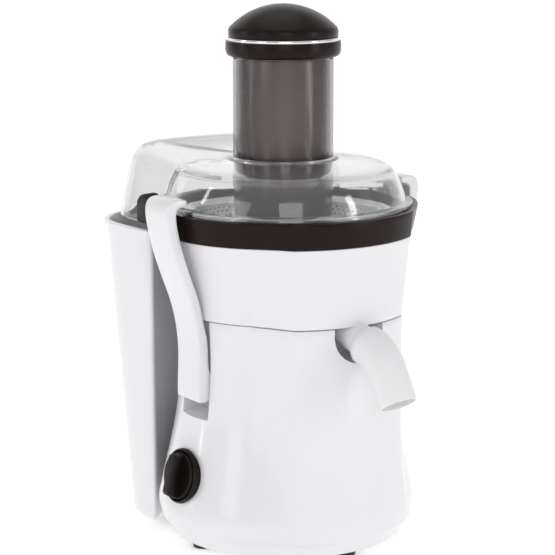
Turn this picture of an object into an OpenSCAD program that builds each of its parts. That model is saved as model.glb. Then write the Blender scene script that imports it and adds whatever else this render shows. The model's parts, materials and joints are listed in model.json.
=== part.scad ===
// Centrifugal juicer, all sizes in millimetres.
// Up is +Z, the spout and front panel face -Y, the pulp container stands at +Y.

/* [Body shells] */
// wall of the moulded shells
wall = 2.6; // [2.2:0.1:2.8]
// distance from the middle to the centre of each rounded side
spread = 9; // [8:0.5:9.5]
// half width of the front panel at the base seam
panel_half = 47; // [44:1:49]
// radius of each foot
foot_r = 8; // [6:0.5:8]

/* [Lid and pusher] */
// wall of the clear lid
lid_wall = 2.3; // [2:0.1:2.5]
// outer radius of the feed tube
tube_r = 37.2; // [35:0.1:38]
// gap between the pusher and the feed tube
pusher_gap = 1.9; // [0.8:0.1:2.4]
// radius of the pusher's cap
cap_r = 40.5; // [39.5:0.5:42]

/* [Sieve] */
// outer radius of the sieve rim
rim_r = 83; // [80:0.5:83.5]
// rings of teeth on the grater
tooth_rings = 5; // [3:1:5]
// rows of openings in the sieve wall
sieve_rows = 3; // [1:1:4]

/* [Latches] */
// width of a latch arm
latch_w = 30; // [26:1:30]
// radius of the latch pins
pin_r = 2.5; // [2:0.1:3]

/* [Knob] */
// radius of the round knob
knob_r = 17.8; // [16:0.2:18.2]
// height of the knob's middle
knob_z = 57.5; // [56:0.5:60]

/* [Spout] */
// outer radius of the spout pipe
pipe_r = 11.5; // [10.5:0.5:12]
// how far the nozzle turns down from the pipe
spout_bend = 42; // [36:1:44]

/* [Pulp container] */
// height of the container's rim
rim_z = 232.5; // [215:0.5:232.5]
// wall of the container
bin_wall = 2.2; // [1.8:0.1:2.6]

/* [Motor] */
// radius of the motor shaft
shaft_r = 4; // [3.5:0.1:5]
// slots in the armature
slots = 12; // [8:1:14]
// blades on the cooling fan
fan_blades = 11; // [7:1:13]

/* [Hidden] */
$fn = 96;

seam_z = 175;
deck_z = 172.4;
ring_z = 234;
ring_top = 253;
tube_y = 4;
tube_top = 361;
tube_low = 205;
lid_z = 253.2;
hood_low = 234.6;
pivot_x = 72;
pivot_z = 127;
pocket_w = latch_w + 3.6;
knob_x = 92.8;
knob_lean = 12.6;
fit = 0.06;
mount_x = 37;
screw_hole = 1.6;
spout_slope = 16;
bend_r = 28;
flank_turn = 26;

// half widths along X, paired with heights
base_side = [
  [93, 17], [95.5, 20], [98.3, 28], [96.5, 40], [92, 60], [89.5, 71],
  [86, 88], [83.5, 104], [81.6, 128], [81, 150], [82, seam_z]
];
base_front = [
  [95.1, 17], [97, 26], [96.4, 40], [94.3, 60], [92.6, 85], [92, 104],
  [92, 128], [92.3, 150], [93, seam_z]
];
bowl_side = [[83, seam_z + 0.5], [84, 187], [86.5, 200], [89.7, 215], [95.5, ring_z]];
bowl_front = [[93, seam_z + 0.5], [94, 190], [95.5, 210], [98, ring_z]];
ring_side = [[96.2, ring_z], [100, ring_top]];
ring_front = [[98.4, ring_z], [99.8, ring_top]];

function thinner(side, by) = [for (p = side) [p[0] - by, p[1]]];
function moved(side, by) = [for (p = side) [p[0] + by, p[1]]];
function closed(side) = concat([[0, side[0][1]]], side, [[0, side[len(side) - 1][1]]]);
function mirrored(side) = concat(side, [for (i = [len(side) - 1:-1:0]) [-side[i][0], side[i][1]]]);

module turned(side) {
  rotate_extrude() polygon(closed(side));
}

// rounded oval body: two turned ends joined by a straight middle
module oval(side) {
  for (end = [-1, 1]) translate([end * spread, 0, 0]) turned(moved(side, -spread));
  rotate([90, 0, 90]) linear_extrude(2 * spread, center = true) polygon(mirrored(moved(side, -spread)));
}

// slab seen from the front, running along Y
module front_slab(points, from_y, to_y) {
  translate([0, to_y, 0]) rotate([90, 0, 0]) linear_extrude(to_y - from_y) polygon(points);
}

// slab seen from the side, running along X
module side_slab(points, from_x, to_x) {
  translate([from_x, 0, 0]) rotate([90, 0, 90]) linear_extrude(to_x - from_x) polygon(points);
}

// proud front face, its flanks turned so that they run into the rounded sides
module panel(side, low_half, high_half) {
  low = side[0];
  high = side[len(side) - 1];
  low_y = sqrt(low[0] * low[0] - low_half * low_half);
  high_y = sqrt(high[0] * high[0] - high_half * high_half);
  shift = cos(flank_turn) * (high_half - low_half) + sin(flank_turn) * (high_y - low_y);
  difference() {
    intersection() {
      turned(side);
      block([-110, -120, low[1] - 1], [110, -40, high[1] + 1]);
    }
    both_sides() translate([high_half, -high_y, high[1]]) rotate([0, 0, -flank_turn])
      rotate([0, atan(shift / (high[1] - low[1])), 0]) translate([0, -150, -200]) cube([200, 300, 300]);
  }
}

module both_sides() {
  for (m = [0, 1]) mirror([m, 0, 0]) children();
}

module block(from, to) {
  translate(from) cube(to - from);
}

// frame of the spout, +Z runs down and out along the pipe
module on_spout(along) {
  translate([0, -70, 172]) rotate([90 + spout_slope, 0, 0]) translate([0, 0, along]) children();
}

// frame of the nozzle's mouth end, after the bend
module on_nozzle() {
  on_spout(38) translate([0, -bend_r, 0]) rotate([spout_bend, 0, 0]) translate([0, bend_r, 0]) children();
}

module bent(r) {
  on_spout(38) translate([0, -bend_r, 0]) rotate([90, 0, 90]) rotate_extrude(angle = spout_bend)
    translate([bend_r, 0]) circle(r);
}

// frame of the knob, +Z runs out of the housing
module on_knob() {
  translate([-knob_x, 0, knob_z]) rotate([0, knob_lean - 90, 0]) children();
}

module latch_room(grow) {
  both_sides() front_slab([
    [77 - grow, 180], [77 - grow, 136 + grow], [63 - grow, 136 + grow], [63 - grow, 105 - grow],
    [92, 99.5 - grow], [112, 99.5 - grow], [112, 180]
  ], -pocket_w / 2 - grow, pocket_w / 2 + grow);
}

module spout_room(grow) {
  translate([0, -58.5 + grow, 170]) rotate([90, 0, 0]) cylinder(h = 80, r = 21.5 + grow);
  block([-21.4 - grow, -138, 171], [21.4 + grow, -58.5 + grow, 182]);
}

module base_solid(by) {
  oval(thinner(base_side, by));
  translate([0, 0, 17]) cylinder(h = 29, r1 = 95.5 - by, r2 = 86 - by);
  panel(thinner(base_front, by), 50 - by, panel_half - by);
}

module motor_housing() {
  color("white") difference() {
    union() {
      difference() {
        base_solid(0);
        difference() {
          intersection() {
            base_solid(wall);
            block([-110, -110, 10], [110, 110, deck_z]);
          }
          latch_room(wall);
          spout_room(wall);
        }
      }
      for (x = [-mount_x, mount_x], y = [-mount_x, mount_x]) translate([x, y, 153]) cylinder(h = 20, r = 6);
      for (a = [45:90:315]) rotate([0, 0, a]) translate([78, 0, 18]) cylinder(h = 26, r = 5);
      for (a = [45:90:315]) rotate([0, 0, a]) block([78, -1.2, 21], [91, 1.2, 38]);
    }
    latch_room(0);
    spout_room(0);
    translate([0, 0, 160]) cylinder(h = 30, r = 13);
    both_sides() translate([pivot_x, 30, pivot_z]) rotate([90, 0, 0]) cylinder(h = 60, r = pin_r + fit);
    on_knob() translate([0, 0, -12]) cylinder(h = 20, r = knob_r + 1.4);
    rotate([0, 0, 24]) translate([80, 0, 34]) rotate([0, 90, 0]) cylinder(h = 30, r = 6.5);
    for (x = [-mount_x, mount_x], y = [-mount_x, mount_x]) translate([x, y, 150]) cylinder(h = 18, r = screw_hole);
    for (a = [45:90:315]) rotate([0, 0, a]) translate([78, 0, 10]) cylinder(h = 28, r = screw_hole);
    for (a = [60:15:120], z = [42.5:9:79]) rotate([0, 0, a]) translate([60, -4, z]) cube([50, 8, 3]);
  }
}

module base_plate() {
  color("white") difference() {
    union() {
      difference() {
        translate([0, 0, 5]) cylinder(h = 12, r1 = 87, r2 = 92.4);
        translate([0, 0, 8]) cylinder(h = 10, r1 = 85.5, r2 = 90);
      }
      for (a = [45:90:315]) rotate([0, 0, a]) translate([78, 0, 6]) cylinder(h = 12, r = 5);
    }
    for (a = [45:90:315]) rotate([0, 0, a]) translate([78, 0, 0]) cylinder(h = 10, r = 4);
    for (a = [45:90:315]) rotate([0, 0, a]) translate([78, 0, 0]) cylinder(h = 20, r = 2.1);
    for (a = [0:90:270]) rotate([0, 0, a]) translate([76, 0, 0]) cylinder(h = 6.5, r = foot_r - 1.5);
    for (x = [-28:8:28]) block([x - 2, -24, 4], [x + 2, 24, 9]);
  }
}

module feet() {
  color("dimgray") for (a = [0:90:270]) rotate([0, 0, a]) translate([76, 0, 0]) {
    cylinder(h = 5, r1 = foot_r - 1, r2 = foot_r);
    cylinder(h = 6.5, r = foot_r - 1.5);
  }
}

module base_screws() {
  color("silver") for (a = [45:90:315]) rotate([0, 0, a]) translate([78, 0, 0]) difference() {
    union() {
      translate([0, 0, 7]) cylinder(h = 3, r = 3.6);
      translate([0, 0, 7]) cylinder(h = 24, r = screw_hole);
    }
    translate([-2.6, -0.5, 6]) cube([5.2, 1, 2]);
    translate([-0.5, -2.6, 6]) cube([1, 5.2, 2]);
  }
}

module cord_gland() {
  color("dimgray") rotate([0, 0, 24]) translate([0, 0, 34]) rotate([0, 90, 0]) difference() {
    union() {
      translate([0, 0, 88]) cylinder(h = 12, r = 6.5);
      translate([0, 0, 98.6]) cylinder(h = 3, r = 9);
      translate([0, 0, 88]) cylinder(h = 3, r = 8.5);
      translate([0, 0, 101.6]) cylinder(h = 6, r1 = 7, r2 = 5.4);
    }
    translate([0, 0, 80]) cylinder(h = 40, r = 3.6);
  }
}

module terminal_block() {
  color("ivory") difference() {
    block([-20, 55, 8], [20, 69, 22]);
    for (x = [-15:10:15]) translate([x, 62, 15]) cylinder(h = 8, r = 2.4);
    for (x = [-15:10:15]) translate([x, 80, 14]) rotate([90, 0, 0]) cylinder(h = 40, r = 1.8);
  }
}

module juice_collector() {
  color("white") difference() {
    union() {
      difference() {
        union() {
          oval(bowl_side);
          panel(bowl_front, panel_half, panel_half + 4.6);
        }
        intersection() {
          union() {
            oval(thinner(bowl_side, wall));
            panel(thinner(bowl_front, wall), panel_half - wall, panel_half + 2);
          }
          block([-110, -110, 183], [110, 110, 240]);
        }
        intersection() {
          oval(thinner(bowl_side, wall));
          block([-110, -110, 170], [110, 110, 180]);
        }
        translate([0, 0, 230]) turned([[84, 0], [84, 10]]);
      }
      difference() {
        translate([0, 0, seam_z]) cylinder(h = 17, r1 = 25, r2 = 23.5);
        translate([0, 0, seam_z + 5]) cylinder(h = 20, r = 21);
      }
      difference() {
        translate([0, 0, seam_z]) cylinder(h = 6, r = 54);
        translate([0, 0, seam_z - 1]) cylinder(h = 8, r = 51.6);
      }
      intersection() {
        on_spout(-7) cylinder(h = 45, r = pipe_r);
        block([-30, -130, 100], [30, -40, 181.6]);
      }
      translate([0, -74, 171]) cylinder(h = 10, r = pipe_r - 0.5);
    }
    translate([0, 0, seam_z - 1]) cylinder(h = 30, r = 21);
    translate([0, -74, 170]) cylinder(h = 16, r = pipe_r - 2.8);
    on_spout(-4.5) cylinder(h = 60, r = pipe_r - 2.3);
  }
}

module collar_ring() {
  color("#2a1f1d") difference() {
    union() {
      oval(ring_side);
      panel(ring_front, panel_half + 4.6, panel_half + 6);
      side_slab([[50, 251], [88, 251], [108, 238], [108, 235.6], [87, 248.4], [50, 248.4]], -70, 70);
      both_sides() side_slab([
        [36, 236], [76, 236], [76, 250], [73.5, 254.5], [68, 257.5], [52, 261], [49, 261], [49, 253], [36, 253]
      ], 80.8, 84.2);
    }
    translate([0, 0, ring_z - 5]) cylinder(h = 30, r = 85);
    difference() {
      translate([0, 0, ring_z - 1]) oval([[93.4, 0], [95.6, 12]]);
      translate([0, 0, ring_z - 5]) cylinder(h = 30, r = 87);
    }
  }
}

module spout_nozzle() {
  color("gainsboro") difference() {
    union() {
      on_spout(31) cylinder(h = 7.6, r = pipe_r + 3.4);
      bent(pipe_r + 3.1);
      on_nozzle() translate([0, 0, -0.6]) cylinder(h = 27.66, r1 = pipe_r + 3.3, r2 = pipe_r + 2.3);
    }
    on_spout(30) cylinder(h = 8.2, r = pipe_r);
    on_spout(37.2) cylinder(h = 1.4, r = pipe_r + 1.7);
    bent(pipe_r + 1.5);
    on_nozzle() translate([0, 0, -0.6]) cylinder(h = 30, r1 = pipe_r + 1.7, r2 = pipe_r + 0.6);
  }
}

module shaft_seal() {
  color("dimgray") difference() {
    union() {
      translate([0, 0, deck_z - 1.5]) cylinder(h = 6.5, r = 13);
      translate([0, 0, deck_z - 3]) cylinder(h = 3, r = 16);
    }
    translate([0, 0, 160]) cylinder(h = 30, r = shaft_r + 0.6);
    translate([0, 0, deck_z]) cylinder(h = 1.5, r = shaft_r + 3);
  }
}

latch_outside = [
  [80, 114.5], [87.6, 114.5], [88.4, 117], [87.4, 140], [87.2, 150], [88.6, 167], [93, 186], [101, 206],
  [108.4, 226], [113, 245], [114.7, 256], [113.4, 263], [108.6, 266.4], [99, 266.4], [96.2, 264.6]
];
latch_inside = [
  [96.2, 261], [104, 259.6], [105.8, 256], [105, 247], [100.8, 229], [93.8, 209], [86.6, 191],
  [84.4, 180], [82, 170], [79.4, 160], [79, 136]
];

module latch_arm() {
  difference() {
    union() {
      front_slab(concat(latch_outside, latch_inside, [[72, 134]]), -latch_w / 2, latch_w / 2);
      translate([pivot_x, latch_w / 2, pivot_z]) rotate([90, 0, 0]) cylinder(h = latch_w, r = 7);
      front_slab([[72, 120], [80, 114.5], [82, 134], [72, 134]], -latch_w / 2, latch_w / 2);
    }
    translate([pivot_x, 40, pivot_z]) rotate([90, 0, 0]) cylinder(h = 80, r = pin_r);
  }
}

module latch_pin() {
  translate([pivot_x, pocket_w / 2 + 2.2, pivot_z]) rotate([90, 0, 0]) cylinder(h = pocket_w + 4.4, r = pin_r);
}

module latch_arm_left() {
  color("white") mirror([1, 0, 0]) latch_arm();
}

module latch_arm_right() {
  color("white") latch_arm();
}

module latch_pin_left() {
  color("silver") mirror([1, 0, 0]) latch_pin();
}

module latch_pin_right() {
  color("silver") latch_pin();
}

lid_round = [
  [88.6, 254], [88.2, 258.6], [85.6, 267], [82, 275.6], [78, 281], [70, 284.3], [41, 287]
];
lid_hollow = [
  [86, 250], [85.8, 258.2], [83.2, 266.2], [79.8, 274], [76.2, 278.8], [69, 281.9], [41, 284.6]
];

// one level of the hood, corners turned so the sides stay flat
module hood_level(low, high, low_r, high_r, from_y) {
  for (x = [-30, 30]) translate([x, 98, low]) cylinder(h = high - low, r1 = low_r, r2 = high_r);
  front_slab([
    [-30 - low_r, low], [30 + low_r, low], [30 + high_r, high], [-30 - high_r, high]
  ], from_y, 98);
  side_slab([[from_y, low], [98 + low_r, low], [98 + high_r, high], [from_y, high]], -30, 30);
}

module hood(by) {
  intersection() {
    union() {
      hood_level(hood_low, 255, 47.4 - by, 43.4 - by, 68);
      hood_level(255, 272, 43.4 - by, 39.8 - by, 30);
      hood_level(272, 284, 39.8 - by, 35.6 - by, 30);
      hood_level(284, 290 - by / 2, 35.6 - by, 29.5 - by, 30);
      hood_level(290 - by / 2, 293 - by, 29.5 - by, 22 - by, 30);
    }
    side_slab([[20, 230], [160, 230], [160, 294.6 - by], [125, 291.6 - by], [20, 282.7 - by]], -90, 90);
  }
}

module lid() {
  color("lightgray", 0.4) difference() {
    union() {
      difference() {
        turned(lid_round);
        turned(lid_hollow);
      }
      difference() {
        hood(0);
        hood(lid_wall);
        block([-60, 68, hood_low - 1], [60, 130, hood_low + 0.1]);
        block([-100, 30, hood_low - 5], [100, 68, lid_z]);
        turned([[86, 240], [86, 253]]);
        turned(lid_hollow);
      }
      difference() {
        translate([0, 0, lid_z]) cylinder(h = 2.2, r = 94);
        translate([0, 0, lid_z - 1]) cylinder(h = 5, r = 86);
        block([-74, 50, 250], [74, 100, 260]);
      }
      both_sides() block([88, -12.5, lid_z], [99, 12.5, lid_z + 3]);
      translate([0, tube_y, tube_low]) cylinder(h = 79, r1 = tube_r - 1.5, r2 = tube_r);
      translate([0, tube_y, 283]) cylinder(h = tube_top - 283, r = tube_r);
      translate([0, tube_y, 284]) cylinder(h = 4.4, r1 = 42, r2 = 40);
    }
    translate([0, tube_y, tube_low - 1]) cylinder(h = 80, r1 = tube_r - 1.5 - lid_wall, r2 = tube_r - lid_wall);
    translate([0, tube_y, 283]) cylinder(h = 90, r = tube_r - lid_wall);
    front_slab([[-58, 240], [58, 240], [58, 268], [50, 276], [-50, 276], [-58, 268]], 40, 96);
  }
}

pusher_r = tube_r - lid_wall - pusher_gap;

module pusher_body() {
  color("#6e5f5f", 0.6) translate([0, tube_y, 0]) difference() {
    union() {
      translate([0, 0, tube_low + 3]) cylinder(h = 154, r1 = pusher_r - 1.2, r2 = pusher_r);
      both_sides() block([pusher_r - 2, -2.5, 290], [pusher_r + 1.1, 2.5, 358]);
      translate([0, 0, tube_top + 0.8]) cylinder(h = 3, r = pusher_r + 3);
    }
    translate([0, 0, tube_low + 5.4]) cylinder(h = 152, r1 = pusher_r - 3.4, r2 = pusher_r - 2.2);
    translate([0, 0, tube_top - 8]) cylinder(h = 30, r = pusher_r - 2.4);
  }
}

module pusher_collar() {
  color("#2a1f1d") translate([0, tube_y, 0]) difference() {
    rotate_extrude() polygon([
      [0, 361.8], [cap_r - 1, 361.8], [cap_r + 1, 363.2], [cap_r + 2.2, 366], [cap_r + 2, 373.4], [0, 373.4]
    ]);
    translate([0, 0, 360]) cylinder(h = 4.8, r = pusher_r + 3);
    translate([0, 0, 360]) cylinder(h = 20, r = pusher_r - 2);
  }
}

module pusher_band() {
  color("silver") translate([0, tube_y, 373.4]) difference() {
    cylinder(h = 2.4, r = cap_r + 1.1);
    translate([0, 0, -1]) cylinder(h = 5, r = pusher_r - 2);
  }
}

module pusher_cap() {
  color("#2a1f1d") translate([0, tube_y, 0]) difference() {
    intersection() {
      translate([0, 0, 345.4]) sphere(r = 54.6);
      translate([0, 0, 375.8]) cylinder(h = 30, r = cap_r);
    }
    intersection() {
      translate([0, 0, 345.4]) sphere(r = 52);
      translate([0, 0, 370]) cylinder(h = 30, r = cap_r - 3);
    }
  }
}

module bin_solid(by, low) {
  hull() {
    for (x = [-1, 1]) {
      translate([x * 41.5, 99, rim_z]) cylinder(h = 0.1, r = 47.5 - by, $fn = 72);
      translate([x * 79, 52, rim_z]) cylinder(h = 0.1, r = 6.5 - by, $fn = 36);
      translate([x * 36, 80, low]) cylinder(h = 0.1, r = 43.5 - by, $fn = 72);
      translate([x * 74, 52, low]) cylinder(h = 0.1, r = 5.5 - by, $fn = 36);
    }
  }
}

module pulp_container() {
  color("white") difference() {
    union() {
      bin_solid(0, 2);
      hull() for (x = [-1, 1]) {
        translate([x * 41.5, 99, rim_z - 3]) cylinder(h = 3, r = 49.6, $fn = 72);
        translate([x * 79, 52, rim_z - 3]) cylinder(h = 3, r = 8, $fn = 36);
      }
    }
    difference() {
      translate([0, 0, 2.4]) bin_solid(bin_wall, 2.2);
      translate([0, 0, -1]) cylinder(h = 240, r = 99.4 + bin_wall);
    }
    translate([0, 0, -1]) cylinder(h = 240, r = 99.4);
  }
}

module knob_bezel() {
  color("#2a1f1d") on_knob() difference() {
    union() {
      translate([0, 0, -3]) cylinder(h = 7, r = knob_r + 1.4);
      translate([0, 0, 0.9]) cylinder(h = 3.1, r1 = knob_r + 2.8, r2 = knob_r + 2.1);
    }
    translate([0, 0, -1]) cylinder(h = 10, r = knob_r + 0.5);
    translate([0, 0, -10]) cylinder(h = 20, r = 8);
  }
}

module speed_knob() {
  color("#1d1716") on_knob() union() {
    translate([0, 0, -0.5]) cylinder(h = 5.5, r1 = knob_r, r2 = knob_r - 0.6);
    intersection() {
      translate([0, 0, -0.5]) cylinder(h = 14, r1 = knob_r, r2 = knob_r - 2.5);
      translate([-30, -4.6, 0]) cube([60, 9.2, 14]);
    }
    translate([0, 0, -16]) cylinder(h = 16, r = 3);
  }
}

module switch_body() {
  color("ivory") on_knob() difference() {
    union() {
      translate([-15, -15, -28]) cube([30, 30, 20]);
      translate([0, 0, -9]) cylinder(h = 6, r = 7);
      for (x = [-8, 0, 8]) translate([x - 0.4, -3, -35]) cube([0.8, 6, 8]);
    }
    translate([0, 0, -18]) cylinder(h = 30, r = 3 + fit);
  }
}

module interlock_switch() {
  color("dimgray") {
    block([-60, 20, 118], [-50, 40, 134]);
    block([-57, 40, 124], [-53, 42, 128]);
    for (z = [121, 126, 131]) block([-50, 29, z - 0.5], [-44, 33, z + 0.5]);
  }
}

module sieve_rim() {
  color("silver") difference() {
    union() {
      translate([0, 0, 243.4]) cylinder(h = 3, r = rim_r);
      translate([0, 0, 241]) cylinder(h = 3, r1 = rim_r - 2.6, r2 = rim_r - 0.4);
    }
    translate([0, 0, 240]) cylinder(h = 8, r1 = rim_r - 5, r2 = rim_r - 2.4);
  }
}

module sieve_wall() {
  color("silver") difference() {
    translate([0, 0, 197]) cylinder(h = 44, r1 = 58, r2 = rim_r - 2.8);
    translate([0, 0, 196.9]) cylinder(h = 44.2, r1 = 57, r2 = rim_r - 3.8);
    for (row = [0:sieve_rows - 1], a = [0:15:345]) rotate([0, 0, a + 7.5 * (row % 2)])
      translate([50, -0.9, 203 + row * 11]) cube([40, 1.8, 6]);
  }
}

module grater_disc() {
  color("silver") difference() {
    union() {
      translate([0, 0, 197]) cylinder(h = 1.6, r = 56.8);
      for (ring = [1:tooth_rings], k = [0:5 + 5 * ring]) rotate([0, 0, 360 * k / (6 + 5 * ring)])
        translate([6 + 8.8 * ring, 0, 198.4]) cylinder(h = 1.7, r1 = 1.3, r2 = 0.3, $fn = 4);
      translate([0, 0, 198]) cylinder(h = 3.4, r1 = 7, r2 = 5.4);
    }
    translate([0, 0, 196]) cylinder(h = 4, r = 3);
  }
}

module sieve_hub() {
  color("dimgray") difference() {
    union() {
      translate([0, 0, 181]) cylinder(h = 13, r = 18.4);
      translate([0, 0, 194.4]) cylinder(h = 2.6, r1 = 24, r2 = 56);
      translate([0, 0, 193]) cylinder(h = 1.4, r = 24);
    }
    translate([0, 0, 180]) cylinder(h = 12, r = 15);
  }
}

module drive_coupling() {
  color("dimgray") difference() {
    union() {
      translate([0, 0, 179]) cylinder(h = 12, r = 11);
      for (a = [0:60:300]) rotate([0, 0, a]) block([8, -2.4, 180], [14.6, 2.4, 191]);
      translate([0, 0, 178.4]) cylinder(h = 2, r = 14);
    }
    translate([0, 0, 170]) cylinder(h = 19, r = shaft_r);
  }
}

module motor_shaft() {
  color("silver") {
    translate([0, 0, 24]) cylinder(h = 164, r = shaft_r);
    translate([0, 0, 23]) cylinder(h = 1, r1 = shaft_r - 0.8, r2 = shaft_r);
    translate([0, 0, 188]) cylinder(h = 1, r1 = shaft_r, r2 = shaft_r - 0.8);
  }
}

module armature_core() {
  color("gray") difference() {
    translate([0, 0, 58]) cylinder(h = 40, r = 24.6);
    translate([0, 0, 57]) cylinder(h = 42, r = shaft_r);
    for (k = [0:slots - 1]) rotate([0, 0, 360 * k / slots]) translate([19.4, 0, 57]) cylinder(h = 42, r = 2.6);
    for (k = [0:slots - 1]) rotate([0, 0, 360 * k / slots]) block([19.4, -0.7, 57], [26, 0.7, 99]);
  }
}

module armature_winding() {
  color("#b5652a") {
    for (z = [49, 98]) translate([0, 0, z]) difference() {
      union() {
        cylinder(h = 9, r = 19.5);
        translate([0, 0, 2]) cylinder(h = 5, r = 22);
      }
      translate([0, 0, -1]) cylinder(h = 11, r = shaft_r + 3);
    }
    for (k = [0:slots - 1]) rotate([0, 0, 360 * k / slots]) translate([19.4, 0, 50]) cylinder(h = 54, r = 2.3);
  }
}

module commutator() {
  color("#b87333") difference() {
    union() {
      translate([0, 0, 36]) cylinder(h = 11, r = 11);
      translate([0, 0, 46]) cylinder(h = 2, r = 12.6);
    }
    translate([0, 0, 30]) cylinder(h = 20, r = shaft_r);
    for (k = [0:slots - 1]) rotate([0, 0, 360 * k / slots]) block([9.4, -0.35, 35], [14, 0.35, 49]);
  }
}

module cooling_fan() {
  color("ivory") difference() {
    union() {
      translate([0, 0, 112]) cylinder(h = 14, r = 9);
      translate([0, 0, 112]) cylinder(h = 2, r = 34);
      for (k = [0:fan_blades - 1]) rotate([0, 0, 360 * k / fan_blades]) translate([8, 0, 113])
        rotate([0, 0, 14]) cube([26, 1.6, 12]);
    }
    translate([0, 0, 110]) cylinder(h = 20, r = shaft_r);
  }
}

module bearing(z) {
  color("silver") translate([0, 0, z]) difference() {
    cylinder(h = 7, r = 11);
    translate([0, 0, -1]) cylinder(h = 9, r = shaft_r + fit);
    translate([0, 0, 6.4]) difference() {
      cylinder(h = 2, r = 9.4);
      translate([0, 0, -1]) cylinder(h = 4, r = 6);
    }
  }
}

module upper_bearing() {
  bearing(140);
}

module lower_bearing() {
  bearing(26);
}

module upper_bracket() {
  color("lightgray") difference() {
    union() {
      translate([0, 0, 138]) cylinder(h = 10, r = 14.6);
      for (a = [45, 135]) rotate([0, 0, a]) block([-57, -7, 139.6], [57, 7, 142.6]);
      for (a = [45:90:315]) rotate([0, 0, a]) block([37.5, -7, 98], [41.6, 7, 141]);
    }
    translate([0, 0, 130]) cylinder(h = 17, r = 11);
    translate([0, 0, 130]) cylinder(h = 30, r = 8);
    for (x = [-mount_x, mount_x], y = [-mount_x, mount_x]) translate([x, y, 130]) cylinder(h = 20, r = 2.1);
  }
}

module lower_bracket() {
  color("lightgray") difference() {
    union() {
      translate([0, 0, 24.6]) cylinder(h = 8.4, r = 14.6);
      for (a = [45, 135]) rotate([0, 0, a]) block([-41.6, -7, 25], [41.6, 7, 28]);
      for (a = [45:90:315]) rotate([0, 0, a]) block([37.5, -7, 26], [41.6, 7, 58]);
    }
    translate([0, 0, 26]) cylinder(h = 20, r = 11);
    translate([0, 0, 20]) cylinder(h = 30, r = 8);
  }
}

module stator_core() {
  color("gray") difference() {
    translate([0, 0, 58]) cylinder(h = 40, r = 42);
    translate([0, 0, 57]) cylinder(h = 42, r = 25.6);
    both_sides() block([26, -17, 57], [36, 17, 99]);
    both_sides() block([20, -8, 57], [30, 8, 99]);
  }
}

module field_coils() {
  color("#b5652a") for (m = [0, 1]) mirror([0, m, 0]) difference() {
    union() {
      for (x = [-31, 31]) block([x - 4.4, 1, 50], [x + 4.4, 16, 106]);
      difference() {
        union() {
          translate([0, 0, 98.4]) cylinder(h = 8, r = 35.4);
          translate([0, 0, 49.6]) cylinder(h = 8, r = 35.4);
        }
        translate([0, 0, 40]) cylinder(h = 70, r = 27);
        block([-50, -50, 40], [50, 1, 120]);
      }
    }
  }
}

module brush_holders() {
  color("#c9a227") both_sides() difference() {
    block([14, -5.4, 36], [33, 5.4, 46.4]);
    block([10, -3.4, 38.2], [31, 3.4, 44.8]);
  }
}

module carbon_brushes() {
  color("#333333") both_sides() block([11.5, -3.3, 38.3], [27, 3.3, 44.7]);
}

module motor_mounts() {
  color("dimgray") for (x = [-mount_x, mount_x], y = [-mount_x, mount_x]) translate([x, y, 142.6]) difference() {
    cylinder(h = 10.4, r = 7);
    translate([0, 0, -1]) cylinder(h = 14, r = 2.1);
  }
}

module motor_screws() {
  color("silver") for (x = [-mount_x, mount_x], y = [-mount_x, mount_x]) translate([x, y, 0]) difference() {
    union() {
      translate([0, 0, 136.8]) cylinder(h = 2.8, r = 3.6);
      translate([0, 0, 138]) cylinder(h = 26, r = screw_hole);
    }
    translate([-0.5, -2.6, 136]) cube([1, 5.2, 1.8]);
  }
}

motor_housing();
base_plate();
feet();
base_screws();
cord_gland();
terminal_block();
juice_collector();
collar_ring();
spout_nozzle();
shaft_seal();
latch_arm_left();
latch_arm_right();
latch_pin_left();
latch_pin_right();
lid();
pusher_body();
pusher_collar();
pusher_band();
pusher_cap();
pulp_container();
knob_bezel();
speed_knob();
switch_body();
interlock_switch();
sieve_rim();
sieve_wall();
grater_disc();
sieve_hub();
drive_coupling();
motor_shaft();
armature_core();
armature_winding();
commutator();
cooling_fan();
upper_bearing();
lower_bearing();
upper_bracket();
lower_bracket();
stator_core();
field_coils();
brush_holders();
carbon_brushes();
motor_mounts();
motor_screws();
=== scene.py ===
import math
import json

import bpy
import bmesh
from mathutils import Vector, Matrix


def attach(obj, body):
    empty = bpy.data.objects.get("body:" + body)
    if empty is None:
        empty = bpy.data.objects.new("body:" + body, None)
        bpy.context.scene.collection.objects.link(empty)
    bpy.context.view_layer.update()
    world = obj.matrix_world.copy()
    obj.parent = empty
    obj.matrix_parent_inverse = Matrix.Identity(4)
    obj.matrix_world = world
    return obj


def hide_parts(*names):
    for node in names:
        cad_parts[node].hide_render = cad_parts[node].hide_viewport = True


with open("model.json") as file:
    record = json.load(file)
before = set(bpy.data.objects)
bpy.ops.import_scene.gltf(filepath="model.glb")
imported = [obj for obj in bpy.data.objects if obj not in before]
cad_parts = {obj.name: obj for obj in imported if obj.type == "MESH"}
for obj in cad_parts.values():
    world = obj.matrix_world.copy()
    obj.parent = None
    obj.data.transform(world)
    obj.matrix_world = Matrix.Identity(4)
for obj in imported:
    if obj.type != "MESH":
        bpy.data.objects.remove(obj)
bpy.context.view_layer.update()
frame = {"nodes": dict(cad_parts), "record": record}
nodes = frame["nodes"]
mm = 0.001


# curves and meshes

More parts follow.
